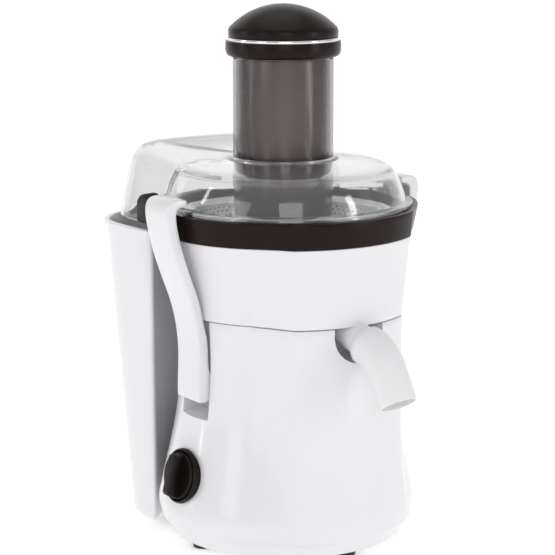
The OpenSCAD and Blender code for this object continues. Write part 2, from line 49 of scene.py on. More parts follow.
# Value at any height through (height, value) pairs, without corners
def smoothCurve(points):
    xs = [p[0] for p in points]
    ys = [p[1] for p in points]
    slopes = []
    for i in range(len(xs)):
        low = max(i - 1, 0)
        high = min(i + 1, len(xs) - 1)
        slopes.append((ys[high] - ys[low]) / (xs[high] - xs[low]))

    def at(x):
        if x <= xs[0]:
            return ys[0]
        if x >= xs[-1]:
            return ys[-1]
        i = max(k for k in range(len(xs) - 1) if xs[k] <= x)
        h = xs[i + 1] - xs[i]
        t = (x - xs[i]) / h
        a = (1 + 2 * t) * (1 - t) ** 2
        b = t * (1 - t) ** 2
        c = t * t * (3 - 2 * t)
        d = t * t * (t - 1)
        return a * ys[i] + b * h * slopes[i] + c * ys[i + 1] + d * h * slopes[i + 1]

    return at


def softMin(a, b, k):
    h = max(k - abs(a - b), 0) / k
    return min(a, b) - h * h * k / 4


def softMax(a, b, k):
    return -softMin(-a, -b, k)


def mix(a, b, t):
    return a + (b - a) * t


def smoothStep(low, high, x):
    t = min(max((x - low) / (high - low), 0), 1)
    return t * t * (3 - 2 * t)


def newObject(name, verts, faces, smooth=True):
    mesh = bpy.data.meshes.new(name)
    mesh.from_pydata([Vector(v) * mm for v in verts], [], faces)
    mesh.validate()
    obj = bpy.data.objects.new(name, mesh)
    bpy.context.scene.collection.objects.link(obj)
    b = bmesh.new()
    b.from_mesh(mesh)
    bmesh.ops.remove_doubles(b, verts=b.verts, dist=1e-7)
    bmesh.ops.recalc_face_normals(b, faces=b.faces)
    b.to_mesh(mesh)
    b.free()
    for p in mesh.polygons:
        p.use_smooth = smooth
    return obj


# Closed rings of equal length, joined one to the next
def gridObject(name, rows, loop=False, capFirst=False, capLast=False):
    n = len(rows[0])
    verts = [p for row in rows for p in row]
    faces = []
    pairs = [(i, i + 1) for i in range(len(rows) - 1)]
    if loop:
        pairs.append((len(rows) - 1, 0))
    for i, k in pairs:
        for j in range(n):
            q = (j + 1) % n
            faces.append((i * n + j, i * n + q, k * n + q, k * n + j))
    if capFirst:
        faces.append(tuple(range(n)))
    if capLast:
        faces.append(tuple((len(rows) - 1) * n + j for j in range(n)))
    return newObject(name, verts, faces)


# Turns (radius, height) pairs about an upright axis
def latheObject(name, profile, steps=96, centre=(0, 0), closed=True, capped=False):
    rows = []
    for r, z in profile:
        rows.append([
            (centre[0] + r * math.cos(2 * math.pi * j / steps),
             centre[1] + r * math.sin(2 * math.pi * j / steps), z)
            for j in range(steps)
        ])
    return gridObject(name, rows, loop=closed, capFirst=capped, capLast=capped)


# A closed or open outline with its corners turned to arcs
def rounded(points, radius, steps=4):
    out = []
    n = len(points)
    for i in range(n):
        a = Vector(points[i - 1])
        b = Vector(points[i])
        c = Vector(points[(i + 1) % n])
        reach = min(radius, (a - b).length * 0.45, (c - b).length * 0.45)
        p = b + (a - b).normalized() * reach
        q = b + (c - b).normalized() * reach
        for s in range(steps + 1):
            t = s / steps
            out.append(tuple(p * (1 - t) ** 2 + b * (2 * t * (1 - t)) + q * t * t))
    return out


def addBevel(obj, width, segments=2, angle=35):
    m = obj.modifiers.new("edges", "BEVEL")
    m.width = width * mm
    m.segments = segments
    m.limit_method = "ANGLE"
    m.angle_limit = math.radians(angle)
    m.harden_normals = False
    return m


# Applies the modifiers and shades by angle
def settle(obj, smoothAngle=40):
    graph = bpy.context.evaluated_depsgraph_get()
    done = bpy.data.meshes.new_from_object(obj.evaluated_get(graph))
    obj.modifiers.clear()
    old = obj.data
    obj.data = done
    done.name = obj.name
    if old.users == 0:
        bpy.data.meshes.remove(old)
    for p in done.polygons:
        p.use_smooth = True
    done.set_sharp_from_angle(angle=math.radians(smoothAngle))
    return obj


def cutBy(obj, cutters, operation="DIFFERENCE"):
    for c in cutters:
        m = obj.modifiers.new("cut", "BOOLEAN")
        m.operation = operation
        m.solver = "EXACT"
        m.object = c
    settle(obj)
    for c in cutters:
        bpy.data.objects.remove(c)
    return obj


# An outline in X and Z drawn out along Y, or one in Y and Z drawn out along X
def slabObject(name, outline, low, high, axis="Y"):
    n = len(outline)
    verts = []
    for d in (low, high):
        for a, b in outline:
            verts.append((a, d, b) if axis == "Y" else (d, a, b))
    faces = [tuple(range(n)), tuple(range(2 * n - 1, n - 1, -1))]
    for j in range(n):
        k = (j + 1) % n
        faces.append((j, k, n + k, n + j))
    return newObject(name, verts, faces, smooth=False)


# The same piece on the other side
def mirrored(obj, name):
    copy = obj.copy()
    copy.data = obj.data.copy()
    copy.name = name
    copy.data.name = name
    bpy.context.scene.collection.objects.link(copy)
    copy.data.transform(Matrix.Scale(-1, 4, (1, 0, 0)))
    copy.data.flip_normals()
    return copy


# A bevelled visual copy of a CAD node
def fromCad(node, width=0.4, segments=2, smoothAngle=35):
    source = nodes[node]
    obj = source.copy()
    obj.data = source.data.copy()
    obj.parent = None
    obj.name = node + "_look"
    for key in list(obj.keys()):
        del obj[key]
    bpy.context.scene.collection.objects.link(obj)
    b = bmesh.new()
    b.from_mesh(obj.data)
    bmesh.ops.remove_doubles(b, verts=b.verts, dist=1e-6)
    bmesh.ops.dissolve_limit(b, angle_limit=math.radians(0.5), verts=b.verts, edges=b.edges)
    b.to_mesh(obj.data)
    b.free()
    obj.data.materials.clear()
    addBevel(obj, width, segments)
    settle(obj, smoothAngle)
    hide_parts(node)
    return obj


# Gives a finished piece its material, its body and what it stands for
def place(obj, body, slot, material, *replaced):
    obj.data.materials.clear()
    obj.data.materials.append(material)
    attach(obj, body)
    if replaced:
        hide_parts(*replaced)
    return obj


# materials

# Slow patches and fine grain, as a value and a normal
def finishGroup():
    g = bpy.data.node_groups.new("surfaceFinish", "ShaderNodeTree")
    for name, kind, start in (
        ("Patch Scale", "NodeSocketFloat", 18.0), ("Grain Scale", "NodeSocketFloat", 900.0),
        ("Base Roughness", "NodeSocketFloat", 0.3), ("Roughness Change", "NodeSocketFloat", 0.08),
        ("Bump Height", "NodeSocketFloat", 0.04),
    ):
        s = g.interface.new_socket(name=name, in_out="INPUT", socket_type=kind)
        s.default_value = start
    g.interface.new_socket(name="Roughness", in_out="OUTPUT", socket_type="NodeSocketFloat")
    g.interface.new_socket(name="Patch", in_out="OUTPUT", socket_type="NodeSocketFloat")
    g.interface.new_socket(name="Normal", in_out="OUTPUT", socket_type="NodeSocketVector")
    n = g.nodes
    link = g.links.new
    entry = n.new("NodeGroupInput")
    out = n.new("NodeGroupOutput")
    coord = n.new("ShaderNodeTexCoord")
    patch = n.new("ShaderNodeTexNoise")
    patch.inputs["Detail"].default_value = 3
    grain = n.new("ShaderNodeTexNoise")
    grain.inputs["Detail"].default_value = 2
    link(coord.outputs["Object"], patch.inputs["Vector"])
    link(coord.outputs["Object"], grain.inputs["Vector"])
    link(entry.outputs["Patch Scale"], patch.inputs["Scale"])
    link(entry.outputs["Grain Scale"], grain.inputs["Scale"])
    scaled = n.new("ShaderNodeMath")
    scaled.operation = "MULTIPLY_ADD"
    centred = n.new("ShaderNodeMath")
    centred.operation = "SUBTRACT"
    centred.inputs[1].default_value = 0.5
    link(patch.outputs["Fac"], centred.inputs[0])
    link(centred.outputs[0], scaled.inputs[0])
    link(entry.outputs["Roughness Change"], scaled.inputs[1])
    link(entry.outputs["Base Roughness"], scaled.inputs[2])
    bump = n.new("ShaderNodeBump")
    bump.inputs["Distance"].default_value = 0.0004
    link(entry.outputs["Bump Height"], bump.inputs["Strength"])
    link(grain.outputs["Fac"], bump.inputs["Height"])
    link(scaled.outputs[0], out.inputs["Roughness"])
    link(patch.outputs["Fac"], out.inputs["Patch"])
    link(bump.outputs["Normal"], out.inputs["Normal"])
    return g


finish = finishGroup()


# A Principled material with a finish of its own and, where an edge colour is given, painted shade that darkens
# its rims
def newMaterial(name, settings):
    m = bpy.data.materials.new(name)
    m.use_nodes = True
    n = m.node_tree.nodes
    link = m.node_tree.links.new
    bsdf = n["Principled BSDF"]
    colour = settings["colour"]
    bsdf.inputs["Metallic"].default_value = settings.get("metallic", 0.0)
    bsdf.inputs["IOR"].default_value = settings.get("ior", 1.5)
    bsdf.inputs["Transmission Weight"].default_value = settings.get("transmission", 0.0)
    bsdf.inputs["Coat Weight"].default_value = settings.get("coat", 0.0)
    bsdf.inputs["Coat Roughness"].default_value = settings.get("coatRoughness", 0.08)
    bsdf.inputs["Subsurface Weight"].default_value = settings.get("subsurface", 0.0)
    bsdf.inputs["Subsurface Radius"].default_value = (0.004, 0.004, 0.004)
    bsdf.inputs["Subsurface Scale"].default_value = 1.0
    g = n.new("ShaderNodeGroup")
    g.node_tree = finish
    g.inputs["Patch Scale"].default_value = settings.get("patchScale", 18.0)
    g.inputs["Grain Scale"].default_value = settings.get("grainScale", 900.0)
    g.inputs["Base Roughness"].default_value = settings["roughness"]
    g.inputs["Roughness Change"].default_value = settings.get("change", 0.06)
    g.inputs["Bump Height"].default_value = settings.get("bump", 0.03)
    link(g.outputs["Roughness"], bsdf.inputs["Roughness"])
    link(g.outputs["Normal"], bsdf.inputs["Normal"])
    if "edge" in settings:
        bsdf.inputs["Specular IOR Level"].default_value = settings.get("specular", 0.5)
    tint = n.new("ShaderNodeMix")
    tint.data_type = "RGBA"
    share = settings.get("tint", 0.94)
    tint.inputs[6].default_value = (*[c * share for c in colour], 1)
    tint.inputs[7].default_value = (*colour, 1)
    link(g.outputs["Patch"], tint.inputs[0])
    if "edge" not in settings:
        link(tint.outputs[2], bsdf.inputs["Base Color"])
        return m
    # Painted shade: the base colour turns to the edge colour towards the silhouette, standing in for the dark
    # rims that refraction gives
    facing = n.new("ShaderNodeLayerWeight")
    facing.inputs["Blend"].default_value = settings.get("edgeShadeBlend", 0.3)
    rim = n.new("ShaderNodeMix")
    rim.data_type = "RGBA"
    rim.inputs[7].default_value = (*settings["edge"], 1)
    link(tint.outputs[2], rim.inputs[6])
    link(facing.outputs["Facing"], rim.inputs[0])
    link(rim.outputs[2], bsdf.inputs["Base Color"])
    return m


whitePlastic = newMaterial("whitePlastic", {
    "colour": (0.80, 0.79, 0.815), "roughness": 0.3, "coat": 0.7, "coatRoughness": 0.12, "tint": 0.985,
})
darkPlastic = newMaterial("darkPlastic", {"colour": (0.013, 0.006, 0.0055), "roughness": 0.28, "ior": 1.24,
                                          "tint": 0.85})
knobPlastic = newMaterial("knobPlastic", {"colour": (0.010, 0.006, 0.0055), "roughness": 0.34, "ior": 1.28,
                                          "tint": 0.8, "bump": 0.08})
clearPlastic = newMaterial("clearPlastic", {
    "colour": (0.93, 0.93, 0.936), "roughness": 0.05, "transmission": 0.955, "ior": 1.36, "change": 0.01,
    "tint": 0.99, "bump": 0.0, "coat": 0.5, "coatRoughness": 0.04,
})
# Feed tube: its edge colour is painted shade, dark rims at grazing angles
tubePlastic = newMaterial("tubePlastic", {
    "colour": (0.86, 0.82, 0.82), "roughness": 0.1, "transmission": 1.0, "ior": 1.22, "change": 0.01,
    "tint": 0.99, "bump": 0.0, "edge": (0.02, 0.012, 0.012), "edgeShadeBlend": 0.42,
})
# Pusher: its edge colour is painted shade, dark rims at grazing angles
smokyPlastic = newMaterial("smokyPlastic", {
    "colour": (0.30, 0.225, 0.225), "roughness": 0.22, "transmission": 0.66, "ior": 1.55, "tint": 0.9,
    "bump": 0.01,
    "coat": 1.0, "coatRoughness": 0.2, "edge": (0.015, 0.009, 0.009), "edgeShadeBlend": 0.5, "specular": 0.9,
})
frostedPlastic = newMaterial("frostedPlastic", {
    "colour": (0.96, 0.965, 0.975), "roughness": 0.4, "transmission": 0.2, "ior": 1.4, "tint": 0.985,
    "bump": 0.05,
})
brightMetal = newMaterial("brightMetal", {"colour": (0.86, 0.86, 0.88), "metallic": 1.0, "roughness": 0.14})
steelSheet = newMaterial("steelSheet", {"colour": (0.66, 0.66, 0.67), "metallic": 1.0, "roughness": 0.26,
                                        "bump": 0.1, "patchScale": 60})
turnedSteel = newMaterial("turnedSteel", {"colour": (0.56, 0.56, 0.57), "metallic": 1.0, "roughness": 0.3,
                                          "bump": 0.1})
# Painted shade: near-black for the discs that stand in for the sieve's openings
paintedHoleShade = newMaterial("paintedHoleShade", {"colour": (0.03, 0.03, 0.032), "roughness": 0.6})
blackRubber = newMaterial("blackRubber", {"colour": (0.02, 0.02, 0.02), "roughness": 0.72, "bump": 0.25})
greyNylon = newMaterial("greyNylon", {"colour": (0.16, 0.16, 0.17), "roughness": 0.5, "bump": 0.15})
paleNylon = newMaterial("paleNylon", {"colour": (0.70, 0.67, 0.58), "roughness": 0.5, "bump": 0.1})
ironSheets = newMaterial("ironSheets", {"colour": (0.2, 0.2, 0.21), "metallic": 0.9, "roughness": 0.5,
                                        "bump": 0.2})
copperWire = newMaterial("copperWire", {"colour": (0.62, 0.24, 0.08), "metallic": 0.9, "roughness": 0.35,
                                        "bump": 0.4, "grainScale": 1500})
brassSheet = newMaterial("brassSheet", {"colour": (0.72, 0.52, 0.2), "metallic": 1.0, "roughness": 0.3})
carbonBlock = newMaterial("carbonBlock", {"colour": (0.02, 0.02, 0.02), "roughness": 0.6, "bump": 0.2})
castAlloy = newMaterial("castAlloy", {"colour": (0.6, 0.6, 0.62), "metallic": 1.0, "roughness": 0.45,
                                      "bump": 0.3, "grainScale": 500})
print("materials ready")


# Puts a small piece on every point, turned by the point's own rotation attribute
def instanceTree(name, piece):
    g = bpy.data.node_groups.new(name, "GeometryNodeTree")
    g.interface.new_socket(name="Geometry", in_out="INPUT", socket_type="NodeSocketGeometry")
    size = g.interface.new_socket(name="Piece Size", in_out="INPUT", socket_type="NodeSocketFloat")
    size.default_value = 1.0
    mat = g.interface.new_socket(name="Material", in_out="INPUT", socket_type="NodeSocketMaterial")
    g.interface.new_socket(name="Geometry", in_out="OUTPUT", socket_type="NodeSocketGeometry")
    n = g.nodes
    link = g.links.new
    entry = n.new("NodeGroupInput")
    out = n.new("NodeGroupOutput")
    toPoints = n.new("GeometryNodeMeshToPoints")
    onPoints = n.new("GeometryNodeInstanceOnPoints")
    turn = n.new("GeometryNodeInputNamedAttribute")
    turn.data_type = "FLOAT_VECTOR"
    turn.inputs["Name"].default_value = "turn"
    shape = n.new(piece["node"])
    for key, value in piece["inputs"].items():
        shape.inputs[key].default_value = value
    real = n.new("GeometryNodeRealizeInstances")
    setMat = n.new("GeometryNodeSetMaterial")
    link(entry.outputs["Geometry"], toPoints.inputs["Mesh"])
    link(toPoints.outputs["Points"], onPoints.inputs["Points"])
    link(shape.outputs["Mesh"], onPoints.inputs["Instance"])
    link(turn.outputs["Attribute"], onPoints.inputs["Rotation"])
    link(entry.outputs["Piece Size"], onPoints.inputs["Scale"])
    link(onPoints.outputs["Instances"], real.inputs["Geometry"])
    link(real.outputs["Geometry"], setMat.inputs["Geometry"])
    link(entry.outputs["Material"], setMat.inputs["Material"])
    link(setMat.outputs["Geometry"], out.inputs["Geometry"])
    return g, size.identifier, mat.identifier


# A finished mesh of the same small piece at given points
def scattered(name, points, turns, piece, material, size=1.0):
    mesh = bpy.data.meshes.new(name)
    mesh.from_pydata([Vector(p) * mm for p in points], [], [])
    attribute = mesh.attributes.new("turn", "FLOAT_VECTOR", "POINT")
    for i, t in enumerate(turns):
        attribute.data[i].vector = t
    obj = bpy.data.objects.new(name, mesh)
    bpy.context.scene.collection.objects.link(obj)
    tree, sizeId, matId = instanceTree(name + "Nodes", piece)
    m = obj.modifiers.new("pieces", "NODES")
    m.node_group = tree
    m[sizeId] = size
    m[matId] = material
    return settle(obj, 30)


# plan outline shared by base, bowl and ring

plan = {"spread": 9.0, "dense": (25.0, 38.0, 0.3), "coarse": 2.5, "crease": 2.4, "valley": 7.0,
        "flank": math.tan(math.radians(26)),
        "fade": (14, -0.66, -0.5)}


# Angles about the axis, close together where the front panel ends
def planAngles():
    low, high, step = plan["dense"]
    side = []
    a = 0.0
    while a < 180.0:
        side.append(a)
        a += step if low <= a < high else plan["coarse"]
    side = [s for s in side if s < 179.0]
    full = side + [180.0] + [-s for s in reversed(side) if s > 0]
    return [math.radians(-90 + a) for a in full]


angles = planAngles()


def ovalRadius(c, s, half):
    spread = plan["spread"]
    a = half - spread
    r = spread * abs(c) + math.sqrt(max(a * a - (spread * s) ** 2, 0))
    if r * abs(c) < spread and abs(s) > 1e-6:
        r = a / abs(s)
    return r


# One ring of the shell: oval sides, proud front panel and, at the foot, a circle
def planRing(z, half, front=0.0, panelHalf=0.0, roundR=0.0, inset=0.0):
    ring = []
    for a in angles:
        c, s = math.cos(a), math.sin(a)
        r = ovalRadius(c, s, half)
        if front and s < -0.5:
            lean = plan["flank"]
            flank = (panelHalf + math.sqrt(front ** 2 - panelHalf ** 2) * lean) / (abs(c) + abs(s) * lean)
            depth, first, last = plan["fade"]
            flank -= depth * smoothStep(first, last, s)
            r = softMax(r, softMin(front, flank, plan["crease"]), plan["valley"])
        if roundR:
            r = softMax(r, roundR, 4.0)
        r -= inset
        ring.append((r * c, r * s, z))
    return ring


def circleRing(z, r, centre=(0, 0)):
    return [(centre[0] + r * math.cos(a), centre[1] + r * math.sin(a), z) for a in angles]


# motor housing
housing = {
    "side": smoothCurve([(17, 93), (20, 95.5), (28, 98.3), (40, 96.5), (60, 92), (71, 89.5), (88, 86),
                         (104, 83.5),
                         (128, 81.6), (150, 81), (175, 82)]),
    "front": smoothCurve([(17, 95.1), (26, 97), (40, 96.4), (60, 94.3), (85, 92.6), (104, 92), (128, 92),
                          (150, 92.3),
                          (175, 93)]),
    "edge": 0.9, "latchHalf": 16.8, "knob": (-92.8, 57.5, 12.6), "recess": 21.5,
    "vents": {"rows": 5, "columns": 5, "lowest": 42.5, "rise": 9, "firstAngle": 60, "turn": 15},
}


spout = {"start": (-70.0, 172.0), "slope": 16.0, "straight": 38.0, "bend": 42.0, "bendR": 28.0}


# Centre and downward angle of the spout at one distance along it
def spoutPath(along):
    y, z = spout["start"]
    a0 = math.radians(spout["slope"])
    turn = math.radians(spout["bend"])
    r = spout["bendR"]
    if along <= spout["straight"]:
        return y - along * math.cos(a0), z - along * math.sin(a0), a0
    y -= spout["straight"] * math.cos(a0)
    z -= spout["straight"] * math.sin(a0)
    rest = along - spout["straight"]
    a = a0 + min(rest / r, turn)
    y -= r * (math.sin(a) - math.sin(a0))
    z -= r * (math.cos(a0) - math.cos(a))
    rest -= r * turn
    if rest > 0:
        y -= rest * math.cos(a)
        z -= rest * math.sin(a)
    return y, z, a


# Rings of given radius along the spout's path
def spoutObject(name, stations, steps=72, loop=True, capped=False):
    rows = []
    for along, r in stations:
        y, z, a = spoutPath(along)
        row = []
        for j in range(steps):
            t = 2 * math.pi * j / steps
            u = r * math.sin(t)
            row.append((r * math.cos(t), y - u * math.sin(a), z + u * math.cos(a)))
        rows.append(row)
    return gridObject(name, rows, loop=loop, capFirst=capped, capLast=capped)


def knobFrame(along):
    x, z, lean = housing["knob"]
    rot = Matrix.Rotation(math.radians(lean - 90), 4, "Y")
    return Matrix.Translation(Vector((x, 0, z)) * mm) @ rot @ Matrix.Translation((0, 0, along * mm))


def moved(obj, matrix):
    obj.data.transform(matrix)
    return obj


def housingRing(z, inset=0.0):
    cone = mix(95.5, 86, (z - 17) / 29) if z < 46 else 0
    half = mix(52, 49, (z - 17) / 158)
    return planRing(z, housing["side"](z), housing["front"](z), half, cone, inset)


# Cutters for the rear air slots, one box per slot
def ventCutters():
    vents = housing["vents"]
    points, turns = [], []
    for row in range(vents["rows"]):
        z = vents["lowest"] + vents["rise"] * row
        for column in range(vents["columns"]):
            a = math.radians(vents["firstAngle"] + vents["turn"] * column)
            r = ovalRadius(math.cos(a), math.sin(a), housing["side"](z))
            points.append((r * math.cos(a), r * math.sin(a), z))
            turns.append((0.0, 0.0, a))
    return scattered("vents", points, turns,
                     {"node": "GeometryNodeMeshCube", "inputs": {"Size": (0.012, 0.008, 0.003)}},
                     whitePlastic)


def buildHousing():
    e = housing["edge"]
    rows = [housingRing(17, 2.4), housingRing(17, e), housingRing(17.2, e * 0.4), housingRing(17.9)]
    z = 20.0
    while z < 173:
        rows.append(housingRing(z))
        z += 3.0
    rows += [housingRing(174.2), housingRing(174.8, 0.3), housingRing(175, e), housingRing(175, 3.0)]
    for r in (60, 30, 13):
        rows.append(circleRing(175, r))
    low = [circleRing(17.0, r) for r in (13, 40, 84)]
    body = gridObject("housing_shell", low + rows, capFirst=True, capLast=True)
    w = housing["latchHalf"]
    pockets = []
    for side in (1, -1):
        outline = [(77, 190), (77, 138), (72, 136), (64.5, 136), (63, 134), (63, 107), (64.5, 105),
                   (92, 99.5), (120, 98), (120, 190)]
        pocket = slabObject("pocket", [(side * x, z) for x, z in outline], -w, w)
        addBevel(pocket, 1.6, 3, 50)
        pockets.append(settle(pocket))
    deep = housing["recess"]
    recess = latheObject("recess", [(0.01, 58.5), (deep - 1.5, 58.5), (deep, 60), (deep, 140), (0.01, 140)],
                         72, closed=False)
    moved(recess, Matrix.Translation((0, 0, 170 * mm)) @ Matrix.Rotation(math.pi / 2, 4, "X"))
    slab = slabObject("recessTop", [(-60, 190), (-60, 171), (-140, 171), (-140, 190)], 0.1 - deep,
                      deep - 0.1, axis="X")
    dial = latheObject("dial", [(0.01, -12), (19.3, -12), (19.3, 8), (0.01, 8)], 64, closed=False)
    moved(dial, knobFrame(0))
    inlet = latheObject("inlet", [(0.01, 80), (6.6, 80), (6.6, 110), (0.01, 110)], 48, closed=False)
    moved(inlet, Matrix.Translation((0, 0, 34 * mm)) @ Matrix.Rotation(math.radians(24), 4, "Z")
          @ Matrix.Rotation(math.pi / 2, 4, "Y"))
    cutBy(body, pockets + [recess, slab, dial, inlet, ventCutters()])
    addBevel(body, 0.55, 2, 42)
    settle(body, 32)
    place(body, "base", "white_shell", whitePlastic, "motor_housing")
    return body


buildHousing()
print("housing ready")


# juice collector: outside, rim, inside, floor and centre tower in one surface
bowl = {
    "side": smoothCurve([(175.5, 83), (187, 84), (200, 86.5), (215, 89.7), (234, 95.5)]),
    "front": smoothCurve([(175.5, 93), (190, 94), (210, 95.5), (234, 98)]),
    "wall": 2.6, "floor": 183.0, "tower": (21.0, 23.4, 191.8),
}


def bowlRing(z, inset=0.0):
    half = mix(49, 53.6, (z - 175.5) / 58.5)
    return planRing(z, bowl["side"](z), bowl["front"](z), half, 0.0, inset)


def buildBowl():
    t = bowl["wall"]
    rows = [bowlRing(175.6, 2.6), bowlRing(175.6, 0.8), bowlRing(175.9, 0.2), bowlRing(176.5)]
    z = 179.0
    while z < 232:
        rows.append(bowlRing(z))
        z += 3.0
    rows += [bowlRing(233.5), bowlRing(233.9, 0.3), bowlRing(233.9, t - 0.4)]
    z = 232.0
    while z > 188:
        rows.append(bowlRing(z, t))
        z -= 4.0
    rows += [bowlRing(185, t + 1.0), bowlRing(bowl["floor"], t + 4)]
    inner, outer, top = bowl["tower"]
    rows += [circleRing(bowl["floor"], 50), circleRing(bowl["floor"], outer + 2),
             circleRing(bowl["floor"] + 2, outer),
             circleRing(top - 0.5, outer), circleRing(top, outer - 0.5), circleRing(top, inner + 0.5),
             circleRing(top - 0.5, inner), circleRing(176.2, inner), circleRing(176.2, 50)]
    body = gridObject("collector_shell", rows, loop=True)
    drain = latheObject("drain", [(0.01, 170), (8.7, 170), (8.7, 190), (0.01, 190)], 48, centre=(0, -74),
                        closed=False)
    cutBy(body, [drain])
    settle(body, 32)
    place(body, "base", "white_shell", whitePlastic, "juice_collector")
    pipe = spoutObject("spout_pipe", [(-4, 9.2), (-4, 11.3), (-3, 11.5), (37.2, 11.5), (37.8, 11.1),
                                      (37.8, 9.5), (37.4, 9.2)])
    settle(pipe)
    place(pipe, "base", "white_shell", whitePlastic)


buildBowl()

# collar ring with its pulp chute and rear side walls
collar = {
    "side": smoothCurve([(234, 96.2), (253, 100)]), "front": smoothCurve([(234, 98.4), (253, 99.8)]),
    "hole": 85.0, "wallX": (80.8, 84.2),
}


def collarRing(z, inset=0.0):
    half = mix(53.6, 55, (z - 234) / 19)
    return planRing(z, collar["side"](z), collar["front"](z), half, 0.0, inset)


def buildCollar():
    h = collar["hole"]
    rows = [collarRing(234.1, 2.0), collarRing(234.1, 0.5), collarRing(234.5, 0.1)]
    rows += [collarRing(z) for z in (236, 239, 242, 245, 248, 251)]
    rows += [collarRing(252.3, 0.1), collarRing(252.8, 0.4), collarRing(253, 1.0), collarRing(253, 2.6)]
    rows += [circleRing(253, h + 1), circleRing(252.7, h + 0.3), circleRing(252, h), circleRing(236, h),
             circleRing(234.2, h + 1)]
    body = gridObject("collar_shell", rows, loop=True)
    settle(body, 32)
    place(body, "base", "dark_trim", darkPlastic, "collar_ring")
    chute = slabObject("pulp_chute", [(52, 251), (88, 251), (108, 238), (108, 235.6), (87, 248.4),
                                      (52, 248.4)],
                       -69.9, 69.9, axis="X")
    bore = latheObject("bore", [(0.01, 240), (85.2, 240), (85.2, 260), (0.01, 260)], 128, closed=False)
    cutBy(chute, [bore])
    addBevel(chute, 0.6)
    place(settle(chute), "base", "dark_trim", darkPlastic)
    low, high = collar["wallX"]
    outline = rounded([(40, 236.2), (76, 236.2), (76, 252.5), (70, 257.6), (54, 261), (49, 260.5),
                       (49, 253.2), (40, 252.8)], 3.5)
    wall = slabObject("side_wall_right", outline, low, high, axis="X")
    addBevel(wall, 0.9, 3, 50)
    settle(wall)
    other = mirrored(wall, "side_wall_left")
    place(wall, "base", "dark_trim", darkPlastic)
    place(other, "base", "dark_trim", darkPlastic)


buildCollar()
print("bowl and ring ready")

# spout nozzle: a sleeve over the pipe, a bend and a slightly tapered mouth
nozzle = {"taper": 27.06, "bendEnd": spout["straight"] + spout["bendR"] * math.radians(spout["bend"])}


def buildNozzle():
    end = nozzle["bendEnd"] + nozzle["taper"]
    bendEnd = end - nozzle["taper"]
    outer = [(31, 14.0), (31.3, 14.6), (32, 14.9), (37.6, 14.9), (38.6, 14.6)]
    outer += [(mix(39.5, bendEnd, k / 10), 14.6) for k in range(11)]
    outer += [(end - 1.4, 13.9), (end - 0.4, 13.8), (end, 13.3)]
    inner = [(end, 12.7), (end - 0.5, 12.2), (end - 6, 12.3)]
    inner += [(mix(bendEnd, 39.5, k / 10), 13.0) for k in range(11)]
    inner += [(38, 13.1), (37.9, 11.6), (31.2, 11.6)]
    shell = spoutObject("nozzle_shell", outer + inner, 96)
    settle(shell)
    place(shell, "base", "frosted_nozzle", frostedPlastic, "spout_nozzle")


buildNozzle()


# latch arms

latch = {
    "outside": [(80, 114.5), (87.0, 114.5), (88.4, 117), (87.4, 140), (87.2, 150), (88.6, 167), (93, 186),
                (101, 206),
                (108.4, 226), (113, 245), (114.6, 256), (113.2, 263), (108.6, 266.3), (99, 266.3),
                (96.3, 264.6)],
    "inside": [(96.3, 261), (104, 259.6), (105.8, 256), (105, 247), (100.8, 229), (93.8, 209), (86.6, 191),
               (84.4, 180),
               (82, 170), (79.4, 160), (79, 136), (72, 134), (66.4, 131.5), (65, 127), (66.4, 122.5),
               (72, 120)],
    "half": 15.0, "edge": 1.7,
}


# Cuts corners of an outline so that it curves
def softened(points, passes=2):
    for _ in range(passes):
        out = []
        n = len(points)
        for i in range(n):
            a, b = Vector(points[i]), Vector(points[(i + 1) % n])
            out.append(tuple(a.lerp(b, 0.25)))
            out.append(tuple(a.lerp(b, 0.75)))
        points = out
    return points


def buildLatches():
    outline = softened(latch["outside"] + latch["inside"], 2)
    arm = slabObject("latch_arm_right_look", outline, -latch["half"], latch["half"])
    addBevel(arm, latch["edge"], 4, 50)
    settle(arm, 40)
    other = mirrored(arm, "latch_arm_left_look")
    place(arm, "latch_right", "white_shell", whitePlastic, "latch_arm_right")
    place(other, "latch_left", "white_shell", whitePlastic, "latch_arm_left")


buildLatches()


# lid

lid = {
    "roundRows": [(253.4, 88.6), (256, 88.5), (259, 88.2), (262, 87.4), (265, 86.4), (268, 85.2),
                  (271, 84.0), (274, 82.6),
                  (277, 80.9), (279.5, 78.7), (281.4, 76), (282.7, 73), (283.6, 69), (284.5, 62),
                  (285.4, 54), (286.2, 46),
                  (286.5, 38)],
    "hoodRows": [(253.4, 43.6), (256, 43.2), (259, 42.5), (262, 41.8), (265, 41.2), (268, 40.6),
                 (271, 39.9), (274, 39.0),
                 (277.4, 38.0), (280.4, 37.0), (282.4, 36.1), (284.6, 34.8), (287.2, 32.4), (289.8, 29.0),
                 (291.2, 22.0),
                 (292.2, 12), (292.6, 2)],
    "roof": (282.7, 0.0848, 20.0), "crown": (3.2, 62), "lowWall": (66, 69), "lowHalf": 82,
    "corner": (30.0, 98.0), "wall": 2.3, "hoodLow": 234.8, "tubeY": 4.0,
}


# Distance from the axis to the hood's outline, in one direction
def hoodRadius(c, s, r):
    cx, cy = lid["corner"]
    if s <= 0.02:
        return (cx + r) / abs(c) if abs(c) > 0.98 else 0.0
    x, y = cx + r, cy + r
    side = x / max(abs(c), 1e-6)
    back = y / max(s, 1e-6)
    d = min(side, back)
    px, py = abs(c) * d, s * d
    if px > cx and py > cy:
        b = abs(c) * cx + s * cy
        k = cx * cx + cy * cy - r * r
        d = b + math.sqrt(max(b * b - k, 0))
    return d


def lidAngles():
    out = []
    a = -90.0
    while a < 270.0:
        out.append(math.radians(a))
        local = (a + 360) % 360
        step = 0.6 if 18 <= local <= 66 or 114 <= local <= 162 else 1.5
        a += step
    return out


